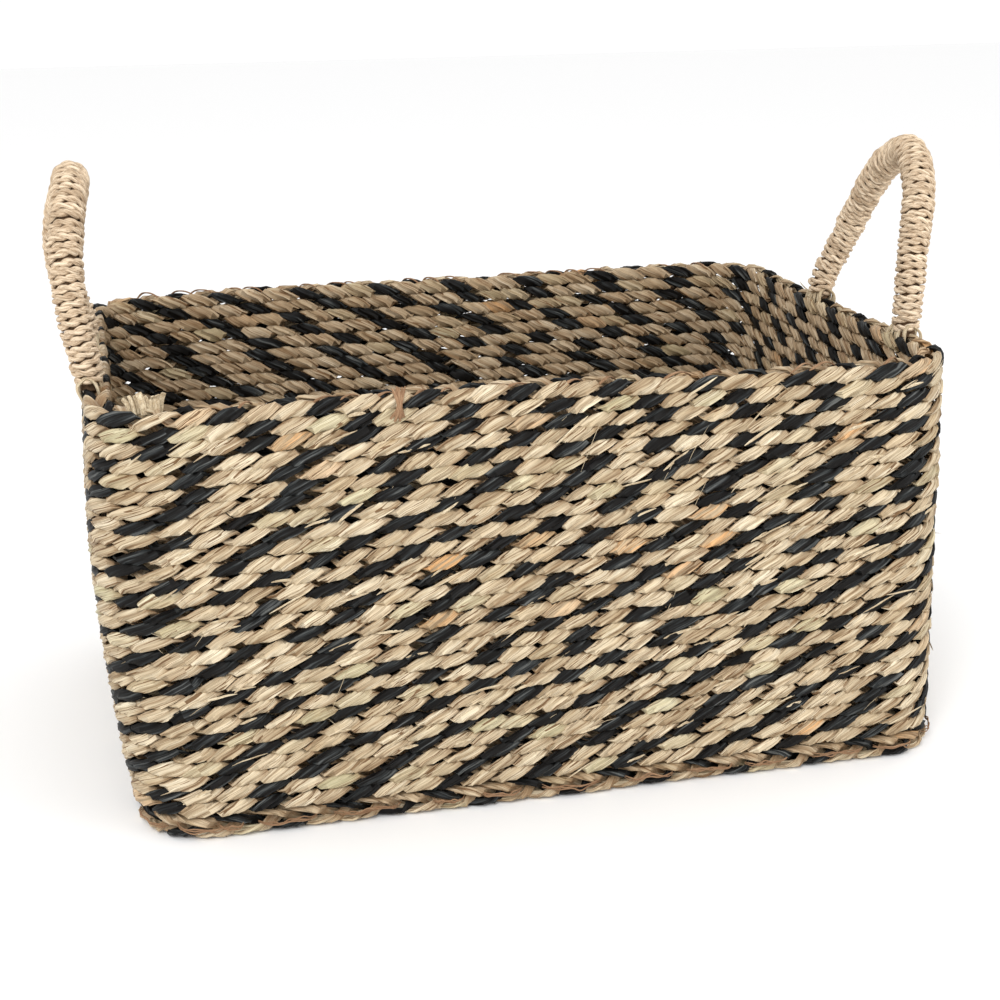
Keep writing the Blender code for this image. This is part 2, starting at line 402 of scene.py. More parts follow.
def base_place(low, high, radius, height, bulge):
    """Where the middle line of a base turn is: the plait stands on edge, so its width points down."""
    length = outline_length(low, high, radius)

    def place(distance):
        points, _, normals = walk_outline(low, high, radius, distance)
        middle = np.column_stack([points, np.full(len(points), height)])
        middle[:, 0] -= bulge * left_front(distance / length)
        out = np.tile([0.0, 0.0, -1.0], (len(points), 1))
        up = np.column_stack([normals, np.zeros(len(points))])
        return middle, out, up

    return place


def left_front(share):
    """1 near the front end of the left side, falling to 0 along the other sides."""
    return (0.5 + 0.5 * np.cos(2 * math.pi * (share - 0.93))) ** 8


def body_wave(height_share):
    """The soft unevenness of the hand-made wall, much the same for neighbouring turns."""

    def sag(share):
        turn = 2 * math.pi * share
        lift = 0.0011 * np.sin(2 * turn + 0.6) + 0.0007 * np.sin(5 * turn + 2.0 + 2.5 * height_share)
        bulge = 0.0010 * np.sin(3 * turn + 1.0 + 2.0 * height_share)
        wave = np.zeros((len(share), 3))
        wave[:, 2] = lift * height_share
        wave[:, 1] = bulge * math.sin(math.pi * height_share)
        wave[:, 0] = -LEFT_BULGE * math.sin(math.pi * max(height_share, 0.5)) * left_front(share)
        return wave

    return sag


def middle_line(node, thickness):
    """The rectangle of a ring node's middle line: its box, moved in by half the ring's thickness."""
    low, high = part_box(node)
    inset = thickness / 2
    return (low.x + inset, low.y + inset), (high.x - inset, high.y - inset)


def plait_sizes():
    """Plait width, wall pitch and base pitch, from the CAD. The wall starts one plait width up."""
    first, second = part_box(WALL_TURNS[0]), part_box(WALL_TURNS[1])
    wall_pitch = second[0].z - first[0].z
    plait_width = first[0].z
    outer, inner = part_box(BASE_TURNS[0]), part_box(BASE_TURNS[1])
    base_pitch = inner[0].x - outer[0].x
    return plait_width, wall_pitch, base_pitch


def add_wall_turn(index, name, plait_width, pitch, material):
    """One turn of the wall: the plait lies flat, so that its outer edge shows."""
    low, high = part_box(name)
    height = (low.z + high.z) / 2
    height_share = index / (len(WALL_TURNS) - 1)
    line_low, line_high = middle_line(name, plait_width)
    radius = CORNER_RADIUS - plait_width / 2
    length = outline_length(line_low, line_high, radius)
    wobble = np.random.default_rng(SEED + 50).normal(0, 0.10, len(WALL_TURNS)).cumsum()[index]
    shift = SHIFT_PER_TURN * index + wobble
    place = wall_place(line_low, line_high, radius, height, body_wave(height_share))
    course = PlaitCourse(length, place, shift, SEED + index, plait_width / 2, pitch / 2)
    piece = course.strands().build(f"plaited_{name}", material)
    finish_piece(piece, "basket", "seagrass_plait", name)


def add_base_turn(index, name, plait_width, pitch, material):
    """One turn of the base: the plait stands on edge."""
    low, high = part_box(name)
    line_low, line_high = middle_line(name, pitch)
    radius = max(CORNER_RADIUS - pitch * (index + 0.5), SMALLEST_CORNER)
    length = outline_length(line_low, line_high, radius)
    shift = 0.31 - SHIFT_PER_TURN * index
    bulge = LEFT_BULGE * (1 - index / len(BASE_TURNS))
    place = base_place(line_low, line_high, radius, (low.z + high.z) / 2, bulge)
    half_width = plait_width / 2 - BASE_CLEARANCE
    course = PlaitCourse(length, place, shift, SEED + 100 + index, half_width, pitch / 2)
    piece = course.strands().build(f"plaited_{name}", material)
    finish_piece(piece, "basket", "seagrass_plait", name)


def add_centre_strip(plait_width, pitch, material):
    """The start of the spiral: a straight run of plait on edge in the middle of the base."""
    low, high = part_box("base_centre_strip")
    length = 2 * (high.x - low.x)
    middle_z = (low.z + high.z) / 2
    half_gap = (high.y - low.y) / 4

    def place(distance):
        turn = 2 * math.pi * distance / length
        reach = (high.x - low.x) / 2 - pitch / 2
        x = (low.x + high.x) / 2 + reach * np.clip(np.cos(turn) * 1.15, -1, 1)
        y = half_gap * np.clip(np.sin(turn) * 3.0, -1, 1)
        middle = np.column_stack([x, y, np.full(len(x), middle_z)])
        out = np.tile([0.0, 0.0, -1.0], (len(x), 1))
        up = normalised(np.column_stack([np.cos(turn) * 0.4, np.sin(turn) + 1e-6, np.zeros(len(x))]))
        return middle, out, up

    course = PlaitCourse(length, place, 0.0, SEED + 190, plait_width / 2 - BASE_CLEARANCE, pitch / 4)
    piece = course.strands().build("plaited_base_centre", material)
    finish_piece(piece, "basket", "seagrass_plait", "base_centre_strip")


# ---------------------------------------- handles


def arch_line(side, count, foot_drop=FOOT_DROP):
    """Evenly spaced points on a handle's middle line, how far up each is, and the line's length."""
    outward, lean, bows = HANDLES[side]
    cosine = np.cos(np.linspace(0, math.pi, 2001))
    along = -np.sign(cosine) * np.abs(cosine) ** (2 / ARCH_POWER)
    rise = np.sqrt(1 - cosine ** 2) ** (2 / ARCH_POWER)
    bow = bows[0] * (1 - along) / 2 + bows[1] * (1 + along) / 2
    out = HANDLE_RISE * rise * math.sin(lean) + bow * np.sin(math.pi * rise)
    forward = HANDLE_HALF_SPAN * along - HANDLE_FORWARD * rise
    points = np.stack([outward * out, forward, HANDLE_RISE * rise * math.cos(lean)], 1) + pivot_of(side)
    drop = np.array([[0.0, 0.0, foot_drop]])
    points = np.concatenate([points[:1] - drop, points, points[-1:] - drop])
    rise = np.concatenate([[0.0], rise, [0.0]])
    walked = np.concatenate([[0.0], np.cumsum(np.linalg.norm(np.diff(points, axis=0), axis=1))])
    even = np.linspace(0, walked[-1], count)
    line = np.stack([np.interp(even, walked, points[:, axis]) for axis in range(3)], 1)
    return line, np.interp(even, walked, rise), walked[-1]


def pivot_of(side):
    joint = next(joint for joint in frame["joints"] if joint["name"] == f"{side}_handle_tilt")
    return np.array(joint["pos_m"])


def handle_radius(rise):
    return HANDLE_FOOT_RADIUS + (HANDLE_RADIUS - HANDLE_FOOT_RADIUS) * rise


def line_frames(line):
    """Tangents along a line, and two directions square to them: out of the basket's side, and across."""
    tangent = normalised(np.gradient(line, axis=0))
    second = normalised(np.cross(tangent, [1.0, 0.0, 0.0]))
    return tangent, np.cross(second, tangent), second


def round_rings(centre, first, second, across, through, around):
    """Rings of points round a line of centres, with a half size along each of the two directions."""
    angle = 2 * math.pi * np.arange(around) / around
    rings = centre[:, None] + (across[:, None] * np.cos(angle))[..., None] * first[:, None]
    return rings + (through[:, None] * np.sin(angle))[..., None] * second[:, None]


def fibre_values(rings, along, tint, number):
    """The values that the twine, raffia and loose straw materials read."""
    count, around = rings.shape[:2]
    grain = np.zeros((count, around, 3))
    grain[..., 0] = np.arange(around) * 0.0007 + number * 0.37
    grain[..., 1] = np.asarray(along)[:, None]
    grain[..., 2] = number * 1.7
    return {"grain": grain, "tint": np.broadcast_to(np.asarray(tint)[..., None], (count, around)).copy()}


def twine_line(side, random):
    """The twine's middle line, its directions sideways and outwards, and the places where it varies."""
    line, rise, length = arch_line(side, 3000)
    turns = length / TWINE_PITCH
    samples = int(turns * SAMPLES_PER_TURN)
    where = np.linspace(0, len(line) - 1, samples)
    here = np.stack([np.interp(where, np.arange(len(line)), line[:, axis]) for axis in range(3)], 1)
    up = np.interp(where, np.arange(len(line)), rise)
    tangent, first, second = line_frames(here)

    knots = np.linspace(0, samples - 1, int(turns * 2))
    slip = np.interp(np.arange(samples), knots, random.normal(0, 0.10, len(knots)))
    swell = np.interp(np.arange(samples), knots, random.normal(0, 0.00022, len(knots)))
    angle = 2 * math.pi * turns * np.linspace(0, 1, samples) + slip
    radial = np.cos(angle)[:, None] * first + np.sin(angle)[:, None] * second
    from_end = np.minimum(where, len(line) - 1 - where) * length / len(line)
    full = WRAP_END_SHARE + (1 - WRAP_END_SHARE) * np.clip(from_end / WRAP_END_LENGTH, 0, 1)
    reach = (handle_radius(up) + 0.0010 - TWINE_RADIUS) * full + swell
    stray = random.normal(0, 0.00035, len(knots))[np.searchsorted(knots, np.arange(samples))]
    middle = smoothed(here + reach[:, None] * radial + stray[:, None] * tangent, 9)
    run = normalised(np.gradient(middle, axis=0))
    side_way = normalised(np.cross(run, radial))
    return middle, side_way, np.cross(side_way, run), knots


def add_handle_wrap(side, material):
    """Twine of two plies, wound round the arch from foot to foot."""
    random = np.random.default_rng(SEED + (900 if side == "left" else 901))
    middle, side_way, outward, knots = twine_line(side, random)
    samples = len(middle)
    walked = np.concatenate([[0.0], np.cumsum(np.linalg.norm(np.diff(middle, axis=0), axis=1))])
    uneven = np.interp(np.arange(samples), knots, random.normal(0, 0.5, len(knots)))
    twist = 2 * math.pi * walked / PLY_TWIST + uneven
    stations = np.arange(0, walked[-1] + SHADE_LENGTH, SHADE_LENGTH)
    shades = np.interp(walked, stations, random.normal(0, 1, int(walked[-1] / SHADE_LENGTH) + 2))

    parts = MeshParts()
    for ply in range(2):
        turn = twist + ply * math.pi
        offset = np.cos(turn)[:, None] * outward * 0.75 + np.sin(turn)[:, None] * side_way
        centre = middle + PLY_OFFSET * offset
        across = np.full(samples, PLY_RADIUS)
        rings = round_rings(centre, side_way, outward, across, across * 0.92, 7)
        parts.add_tube(rings, **fibre_values(rings, walked, shades + 0.6 * ply, ply + 1))
    piece = parts.build(f"wound_{side}_handle", material, 60)
    finish_piece(piece, f"{side}_handle", "handle_twine", f"{side}_handle_wrap")


def smoothed(points, width):
    """A running mean along a line of points."""
    kernel = np.ones(width) / width
    padded = np.pad(points, ((width // 2, width // 2), (0, 0)), mode="edge")
    return np.stack([np.convolve(padded[:, axis], kernel, mode="valid") for axis in range(3)], 1)


def add_handle_core(side, material):
    """The rope core, seen only as a dark ground between the turns of twine: its dark brown is partly its own
    colour and partly painted shade.
    """
    line, rise, length = arch_line(side, 90, FOOT_DROP + 0.0024)
    _, first, second = line_frames(line)
    radius = handle_radius(rise) - 1.5 * TWINE_RADIUS
    rings = round_rings(line, first, second, radius, radius, 14)
    parts = MeshParts()
    parts.add_tube(rings, **fibre_values(rings, np.linspace(0, length, 90), np.zeros(90), 5))
    piece = parts.build(f"rope_in_{side}_handle", material)
    finish_piece(piece, f"{side}_handle", "rope_core", f"{side}_handle_core")


# ---------------------------------------- lashings, stitches and loose straw


def smooth_path(corners, count):
    """A smooth line through the corners, by the Catmull-Rom rule, with a number of points."""
    corners = np.asarray(corners, float)
    padded = np.concatenate([[2 * corners[0] - corners[1]], corners, [2 * corners[-1] - corners[-2]]])
    where = np.linspace(0, len(corners) - 1 - 1e-9, count)
    index = where.astype(int)
    part = (where - index)[:, None]
    before, start, end, after = (padded[index + k] for k in range(4))
    curve = 2 * start + (end - before) * part
    curve += (2 * before - 5 * start + 4 * end - after) * part ** 2
    curve += (3 * start - before - 3 * end + after) * part ** 3
    return curve / 2


def add_straw(parts, corners, normals, size, tint, number, count=12, around=6, tip=0.35):
    """A flat strand through the corners. Its face looks along the normals, and it narrows to its ends.

    The size is its half width and half thickness.
    """
    half_width, half_thickness = size
    centre = smooth_path(corners, count)
    face = smooth_path(normals, count)
    tangent = normalised(np.gradient(centre, axis=0))
    face = normalised(face - (face * tangent).sum(1, keepdims=True) * tangent)
    wide = np.cross(tangent, face)
    share = np.linspace(-1, 1, count)
    width = half_width * (tip + (1 - tip) * np.sqrt(1 - share ** 2 * 0.98))
    rings = round_rings(centre, wide, face, width, half_thickness * width / half_width, around)
    along = np.linspace(0, 0.02, count)
    parts.add_tube(rings, **fibre_values(rings, along, np.full(count, tint), number))


def add_lashing(side, end, material):
    """Strands that bind a handle's foot: each comes up inside, goes over the rim and down the outside."""
    outward = HANDLES[side][0]
    name = f"{side}_{end}_lashing"
    low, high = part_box(name)
    pivot = pivot_of(side)
    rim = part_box(WALL_TURNS[-1])[1].z
    along_y = (low.y + high.y) / 2
    outer = high.x if outward > 0 else low.x
    random = np.random.default_rng(SEED + 700 + sorted(HANDLES).index(side) * 2 + (end == "rear"))
    parts = MeshParts()
    for number, spread in enumerate((-1.0, -0.55, -0.1, 0.35, 0.75, 1.1)):
        reach = 0.0080 * spread + random.normal(0, 0.0007)
        drop = 0.010 + random.normal(0, 0.0022)
        middle = pivot[0] + random.normal(0, 0.0007)
        corners = [
            (middle - outward * 0.0054, along_y + reach * 1.05, rim - 0.0050),
            (middle - outward * 0.0050, along_y + reach * 0.95, rim - 0.0010),
            (middle - outward * 0.0036, along_y + reach * 0.72, rim + 0.0026),
            (middle - outward * 0.0004, along_y + reach * 0.52, rim + 0.0046),
            (middle + outward * 0.0022, along_y + reach * 0.65, rim + 0.0030),
            (middle + outward * 0.0040, along_y + reach * 0.85, rim + 0.0004),
            (outer - outward * 0.0016, along_y + reach * 0.95, rim - drop * 0.5),
            (outer - outward * 0.0045, along_y + reach * 1.1, rim - drop - 0.001),
        ]
        normals = [
            (-outward, 0.0, 0.1),
            (-outward, 0.0, 0.3),
            (-outward, 0.0, 0.9),
            (-outward * 0.1, 0.0, 1.0),
            (outward * 0.8, 0.0, 1.0),
            (outward, 0.0, 0.6),
            (outward, 0.0, 0.1),
            (outward, 0.0, -0.3),
        ]
        half_width = random.uniform(0.0012, 0.0019)
        add_straw(parts, corners, normals, (half_width, 0.0007), random.normal(0, 0.9), number, 40, 8, 0.8)
    piece = parts.build(f"{name}_strands", material, 60)
    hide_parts(name)
    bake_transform(piece)


def add_rim_stitches(node, front, material):
    """Raffia stitches that bind the last turn of the plait: each slants over the top of the rim."""
    rim_low, rim_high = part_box(WALL_TURNS[-1])
    random = np.random.default_rng(SEED + (800 if front else 801))
    width = rim_high.x - rim_low.x - 2 * CORNER_RADIUS
    parts = MeshParts()
    count = int(width / 0.0145)
    y_face = rim_low.y if front else rim_high.y
    inward = 1 if front else -1
    for number in range(count):
        if random.random() < 0.30:
            continue
        x = rim_low.x + CORNER_RADIUS + width * (number + random.uniform(0.2, 0.8)) / count
        slant = random.uniform(0.004, 0.009)
        top = rim_high.z + 0.0004
        corners = [
            (x - slant, y_face + inward * 0.0028, top - 0.0028),
            (x - slant * 0.5, y_face + inward * 0.0022, top + 0.0002),
            (x, y_face + inward * 0.0046, top + 0.0010),
            (x + slant * 0.5, y_face + inward * 0.0070, top + 0.0004),
            (x + slant, y_face + inward * 0.0090, top - 0.0018),
        ]
        normals = [(0, -inward, 0.3), (0, -inward, 0.8), (0, 0, 1), (0, 0, 1), (0, inward, 0.8)]
        size = (random.uniform(0.0005, 0.0009), 0.0004)
        add_straw(parts, corners, normals, size, random.normal(0, 1), number)
    piece = parts.build(node.replace("stitching", "stitches"), material)
    finish_piece(piece, "basket", "stitching_raffia", node)


def smooth_noise(random, count):
    return np.convolve(random.normal(0, 1, count + 2), [0.25, 0.5, 0.25], mode="valid")


def add_base_stitches(material):
    """Raffia that sews the foot, in long stitches along the middle of the base turn's face."""
    low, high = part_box(BASE_TURNS[0])
    out = 0.0014
    line_low, line_high = (low.x - out, low.y - out), (high.x + out, high.y + out)
    radius = CORNER_RADIUS + out
    length = outline_length(line_low, line_high, radius)
    random = np.random.default_rng(SEED + 810)
    parts = MeshParts()
    start = 0.0
    number = 0
    while start < length - 0.02:
        run = random.uniform(0.012, 0.034)
        distances = start + np.linspace(0, run, 9)
        points, _, normals = walk_outline(line_low, line_high, radius, distances)
        points[:, 0] -= LEFT_BULGE * left_front(distances / length)
        depth = np.array([-0.0035, -0.0006, 0.0, 0.0002, 0.0, 0.0002, 0.0, -0.0006, -0.0035])
        height = high.z - 0.0054 + smooth_noise(random, 9) * 0.0007
        corners = np.column_stack([points + normals * depth[:, None], height])
        faces = np.column_stack([normals, np.full(9, 0.2)])
        for strand in range(3):
            offset = np.array([0.0, 0.0, (strand - 1) * 0.0005])
            wander = np.column_stack([np.zeros((9, 2)), random.normal(0, 0.0005, 9)])
            way = corners + offset + wander
            add_straw(parts, way, faces, (0.00036, 0.00030), random.normal(0, 1), number, 26)
            number += 1
        start += run + random.uniform(0.002, 0.016)
    piece = parts.build("base_stitches", material)
    finish_piece(piece, "basket", "stitching_raffia", "base_stitching")


def add_rim_knot(material):
    """A raffia end knotted over the rim on the front, with its frayed tips up."""
    low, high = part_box(WALL_TURNS[-1])
    middle = low.x + KNOT_ALONG * (high.x - low.x)
    top = high.z
    random = np.random.default_rng(SEED + 805)
    parts = MeshParts()
    for number in range(9):
        lean = random.normal(0, 0.0016)
        foot = random.uniform(-0.0030, 0.0030) if number % 2 else random.uniform(-0.0045, 0.0045)
        corners = [
            (middle + foot, low.y - 0.0004, top - 0.0085 - random.uniform(0, 0.002)),
            (middle + foot * 0.3, low.y - 0.0014, top - 0.0050),
            (middle + lean * 0.4, low.y - 0.0006, top - 0.0008),
            (middle + lean, low.y + 0.0012, top + random.uniform(0.0022, 0.0050)),
        ]
        normals = [(0, -1, 0), (0, -1, 0.1), (0, -1, 0.3), (0, -1, 0.2)]
        half_width = random.uniform(0.0004, 0.0008)
        add_straw(parts, corners, normals, (half_width, 0.0003), random.normal(0.6, 0.8), number, 12, 6, 0.5)
    piece = parts.build("rim_knot", material)
    finish_piece(piece, "basket", "stitching_raffia")


def add_plait_end(material):
    """The cut end of the wound plait: a row of short straws that stand up from the rim."""
    low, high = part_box("plait_end_tuft")
    random = np.random.default_rng(SEED + 820)
    parts = MeshParts()
    middle_y = (low.y + high.y) / 2
    count = 8
    for number in range(count):
        share = number / (count - 1)
        x = low.x - 0.0045 + (high.x - low.x) * share
        lean = (share - 0.6) * 0.0030 + random.normal(0, 0.0005)
        rise = 0.0050 + random.uniform(-0.0010, 0.0014)
        y = middle_y + 0.002 + random.uniform(-0.0016, 0.0016)
        corners = [
            (x - lean * 0.5, y - 0.001, low.z - 0.003),
            (x, y, low.z + rise * 0.3),
            (x + lean * 0.5, y + 0.0004, low.z + rise * 0.7),
            (x + lean, y + random.uniform(-0.001, 0.001), low.z + rise),
        ]
        normals = [(0, -1, 0.1), (0.2, -1, 0.1), (0.2, -1, 0.2), (0.3, -1, 0.3)]
        half_width = random.uniform(0.0008, 0.0015)
        add_straw(parts, corners, normals, (half_width, 0.00035), random.normal(0.2, 0.8), number, 8, 6, 0.9)
    piece = parts.build("cut_end_of_plait", material)
    finish_piece(piece, "basket", "seagrass_plait", "plait_end_tuft")


def add_loose_straws(material):
    """Slivers and hairs that have worked loose from the leaves, all over the outside of the wall."""
    random = np.random.default_rng(SEED + 830)
    parts = MeshParts()
    for number in range(LOOSE_STRAWS):
        turn = random.integers(0, len(WALL_TURNS))
        low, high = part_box(WALL_TURNS[turn])
        length = outline_length(low, high, CORNER_RADIUS)
        start = random.uniform(0, length)
        hair = random.random() < 0.35
        size = random.uniform(0.004, 0.010) if hair else random.uniform(0.007, 0.018)
        distances = start + np.linspace(0, size, 5)
        points, _, normals = walk_outline(low, high, CORNER_RADIUS, distances)
        slope = random.normal(0.42, 0.9 if hair else 0.16)
        stand = random.uniform(0.0005, 0.0035) if random.random() < 0.35 else 0.0003
        ends = [0.0, 0.3, 0.5, 0.7, 1.0] if random.random() < 0.5 else [1.0, 0.6, 0.4, 0.2, 0.0]
        lift = -0.0004 + np.array(ends) ** 2 * stand + random.normal(0, 0.0002, 5)
        middle = (low.z + high.z) / 2 + random.normal(0, 0.0018)
        height = middle + slope * (np.linspace(0, size, 5) - size / 2)
        corners = np.column_stack([points + normals * lift[:, None], height])
        faces = np.column_stack([normals, np.zeros(5)])
        half_width = 0.00013 if hair else random.uniform(0.0003, 0.0009)
        add_straw(parts, corners, faces, (half_width, 0.00013), random.normal(-0.4, 1.0), number, 8, 4, 0.15)
    piece = parts.build("loose_straws", material)
    finish_piece(piece, "basket", "seagrass_plait")


# ---------------------------------------- materials


def new_nodes(name):
    material = bpy.data.materials.new(name)
    material.use_nodes = True
    nodes = material.node_tree.nodes
    links = material.node_tree.links
    return material, nodes, links, nodes["Principled BSDF"]


def ramp(nodes, links, value, stops):
    node = nodes.new("ShaderNodeValToRGB")
    links.new(value, node.inputs["Fac"])
    elements = node.color_ramp.elements
    while len(elements) > 1:
        elements.remove(elements[-1])
    elements[0].position, elements[0].color = stops[0][0], (*stops[0][1], 1.0)
    for position, colour in stops[1:]:
        elements.new(position).color = (*colour, 1.0)
    return node.outputs["Color"]


def attribute(nodes, name):
    node = nodes.new("ShaderNodeAttribute")
    node.attribute_name = name
    return node


def mix_colours(nodes, links, factor, first, second, mode="MIX"):
    node = nodes.new("ShaderNodeMix")
    node.data_type = "RGBA"
    node.blend_type = mode
    for socket, value in ((node.inputs[0], factor), (node.inputs[6], first), (node.inputs[7], second)):
        if isinstance(value, bpy.types.NodeSocket):
            links.new(value, socket)
        else:
            socket.default_value = value
    return node.outputs[2]


def noise(nodes, links, vector, scale, detail):
    """A noise with a scale of its own along each direction of the vector."""
    stretched = nodes.new("ShaderNodeVectorMath")
    stretched.operation = "MULTIPLY"
    links.new(vector, stretched.inputs[0])
    stretched.inputs[1].default_value = scale
    node = nodes.new("ShaderNodeTexNoise")
    node.inputs["Scale"].default_value = 1.0
    node.inputs["Detail"].default_value = detail
    node.inputs["Roughness"].default_value = 0.55
    links.new(stretched.outputs[0], node.inputs["Vector"])
    return node.outputs["Fac"]


def map_range(nodes, links, value, low, high, to_low=0.0, to_high=1.0):
    node = nodes.new("ShaderNodeMapRange")
    node.inputs["From Min"].default_value = low
    node.inputs["From Max"].default_value = high
    node.inputs["To Min"].default_value = to_low
    node.inputs["To Max"].default_value = to_high
    links.new(value, node.inputs["Value"])
    return node.outputs["Result"]


def multiply(nodes, links, first, second):
    node = nodes.new("ShaderNodeMath")
    node.operation = "MULTIPLY"
    links.new(first, node.inputs[0])
    links.new(second, node.inputs[1])
    return node.outputs[0]


def grey(nodes, links, value):
    node = nodes.new("ShaderNodeCombineColor")
    for socket in node.inputs:
        links.new(value, socket)
    return node.outputs[0]


def band(nodes, links, value, middle, half_width):
    """1 where the value is close to the middle, 0 elsewhere: thin lines along a noise."""
    away = nodes.new("ShaderNodeMath")
    away.operation = "COMPARE"
    links.new(value, away.inputs[0])
    away.inputs[1].default_value = middle
    away.inputs[2].default_value = half_width
    return away.outputs[0]


def mix_values(nodes, links, first, second, share):
    node = nodes.new("ShaderNodeMix")
    node.data_type = "FLOAT"
    node.inputs[0].default_value = share
    links.new(first, node.inputs[2])
    links.new(second, node.inputs[3])
    return node.outputs[0]


def add_bump(nodes, links, shader, height, strength, distance):
    bump = nodes.new("ShaderNodeBump")
    bump.inputs["Strength"].default_value = strength
    bump.inputs["Distance"].default_value = distance
    links.new(height, bump.inputs["Height"])
    links.new(bump.outputs["Normal"], shader.inputs["Normal"])


def natural_leaf_colour(nodes, links, grain, straws, fibres):
    """Straw, with a shade for each leaf, some orange and green leaves, worn patches and dark cracks."""
    tint = attribute(nodes, "tint").outputs["Fac"]
    hue = attribute(nodes, "hue").outputs["Fac"]
    straw = ramp(nodes, links, straws, [
        (0.28, (0.25, 0.17, 0.10)),
        (0.39, (0.43, 0.34, 0.235)),
        (0.52, (0.58, 0.49, 0.36)),
        (0.72, (0.74, 0.665, 0.53)),
    ])
    by_leaf = map_range(nodes, links, tint, -1.6, 1.6, 0.0, 1.0)
    pale = mix_colours(nodes, links, by_leaf, (0.86, 0.80, 0.70, 1), (1.10, 1.08, 1.02, 1))
    colour = mix_colours(nodes, links, 1.0, straw, pale, "MULTIPLY")

    warm = map_range(nodes, links, hue, 1.5, 2.3, 0.0, 0.85)
    streaked = multiply(nodes, links, warm, map_range(nodes, links, straws, 0.40, 0.58))
    colour = mix_colours(nodes, links, streaked, colour, (0.62, 0.33, 0.13, 1))
    green = map_range(nodes, links, hue, -0.9, -2.2, 0.0, 0.45)
    colour = mix_colours(nodes, links, green, colour, (0.50, 0.50, 0.30, 1))

    fine = map_range(nodes, links, fibres, 0.35, 0.65, 0.80, 1.12)
    colour = mix_colours(nodes, links, 1.0, colour, grey(nodes, links, fine), "MULTIPLY")
    patches = noise(nodes, links, grain, (160.0, 60.0, 1.0), 2.0)
    worn = map_range(nodes, links, patches, 0.55, 0.75, 0.0, 0.35)
    colour = mix_colours(nodes, links, worn, colour, (0.55, 0.40, 0.22, 1))
    cracks = (
        ((560.0, 17.0, 1.0), 0.014, 1.0),
        ((1150.0, 30.0, 1.0), 0.020, 0.55),
    )
    for scale, half_width, darkness in cracks:
        split = noise(nodes, links, grain, scale, 1.0)
        crack = map_range(nodes, links, band(nodes, links, split, 0.5, half_width), 0.0, 1.0, 0.0, darkness)
        colour = mix_colours(nodes, links, crack, colour, (0.17, 0.10, 0.05, 1))
    return colour


def dyed_leaf_colour_with_painted_highlights(nodes, links, straws, fibres):
    """Blue-black dye, with painted grey highlights on some fibres."""
    return ramp(nodes, links, mix_values(nodes, links, straws, fibres, 0.35), [
        (0.36, (0.0025, 0.0018, 0.0014)),
        (0.50, (0.0080, 0.0072, 0.0066)),
        # The palest stops paint highlights along the fibres
        (0.57, (0.022, 0.025, 0.026)),
        (0.66, (0.115, 0.118, 0.112)),
    ])


def seagrass_material():
    """Dry seagrass leaf: straw with fine fibre, painted brown shade where it dips under and inside the
    basket, and a dyed black strand with painted highlights.
    """
    material, nodes, links, shader = new_nodes("seagrass plait")
    grain = attribute(nodes, "grain").outputs["Vector"]
    depth = attribute(nodes, "depth").outputs["Fac"]
    black = attribute(nodes, "black").outputs["Fac"]
    fibres = noise(nodes, links, grain, (2600.0, 90.0, 1.0), 3.0)
    straws = noise(nodes, links, grain, (620.0, 34.0, 1.0), 2.0)

    colour = natural_leaf_colour(nodes, links, grain, straws, fibres)
    # Painted brown shade where the strand dips under others and inside the basket; brown also at the
    # strand's edges
    painted_shade_and_brown_edge = map_range(nodes, links, depth, 0.36, 1.0, 0.0, 0.78)
    colour = mix_colours(nodes, links, painted_shade_and_brown_edge, colour, (0.24, 0.135, 0.065, 1))
    colour = mix_colours(nodes, links, black, colour, dyed_leaf_colour_with_painted_highlights(nodes, links, straws, fibres))
    links.new(colour, shader.inputs["Base Color"])

    add_bump(nodes, links, shader, mix_values(nodes, links, straws, fibres, 0.4), 0.55, 0.0006)
    shader.inputs["Roughness"].default_value = 0.52
    shader.inputs["Specular IOR Level"].default_value = 0.12
    return material


def fibre_material(name, stops, rough, streak, fine):
    """Dry plant fibre: streaks that run along the strand, with a shade of its own for each strand."""
    material, nodes, links, shader = new_nodes(name)
    grain = attribute(nodes, "grain").outputs["Vector"]
    tint = attribute(nodes, "tint").outputs["Fac"]
    streaks = noise(nodes, links, grain, (streak, streak / 9, 1.0), 3.0)
    fibres = noise(nodes, links, grain, (fine, fine / 14, 1.0), 2.0)
    colours = ramp(nodes, links, mix_values(nodes, links, streaks, fibres, 0.4), stops)
    shade = map_range(nodes, links, tint, -2.0, 2.0, 0.0, 1.0)
    tinted = mix_colours(nodes, links, shade, (0.80, 0.76, 0.70, 1), (1.10, 1.10, 1.08, 1))
    colour = mix_colours(nodes, links, 1.0, colours, tinted, "MULTIPLY")
    line = band(nodes, links, streaks, 0.5, 0.022)
    darker = map_range(nodes, links, line, 0.0, 1.0, 0.0, 0.5)
    colour = mix_colours(nodes, links, darker, colour, (0.17, 0.10, 0.055, 1))
    links.new(colour, shader.inputs["Base Color"])
    add_bump(nodes, links, shader, fibres, 0.6, 0.0004)
    shader.inputs["Roughness"].default_value = rough
    shader.inputs["Specular IOR Level"].default_value = 0.15
    return material


def twine_material():
    return fibre_material("handle twine", [
        (0.36, (0.26, 0.175, 0.105)),
        (0.43, (0.53, 0.40, 0.28)),
        (0.50, (0.70, 0.56, 0.41)),
        (0.64, (0.84, 0.71, 0.55)),
    ], 0.7, 1500.0, 5200.0)


def core_material():
    # Dark brown, partly the core's own colour and partly painted shade in the gaps between the turns of
    # twine
    return fibre_material("rope core", [
        (0.3, (0.10, 0.060, 0.035)),
        (0.7, (0.22, 0.14, 0.085)),
    ], 0.85, 900.0, 3000.0)


def raffia_material():
    return fibre_material("brown raffia", [
        (0.3, (0.16, 0.085, 0.045)),
        (0.5, (0.30, 0.175, 0.10)),
        (0.7, (0.44, 0.29, 0.18)),
    ], 0.7, 1800.0, 6000.0)


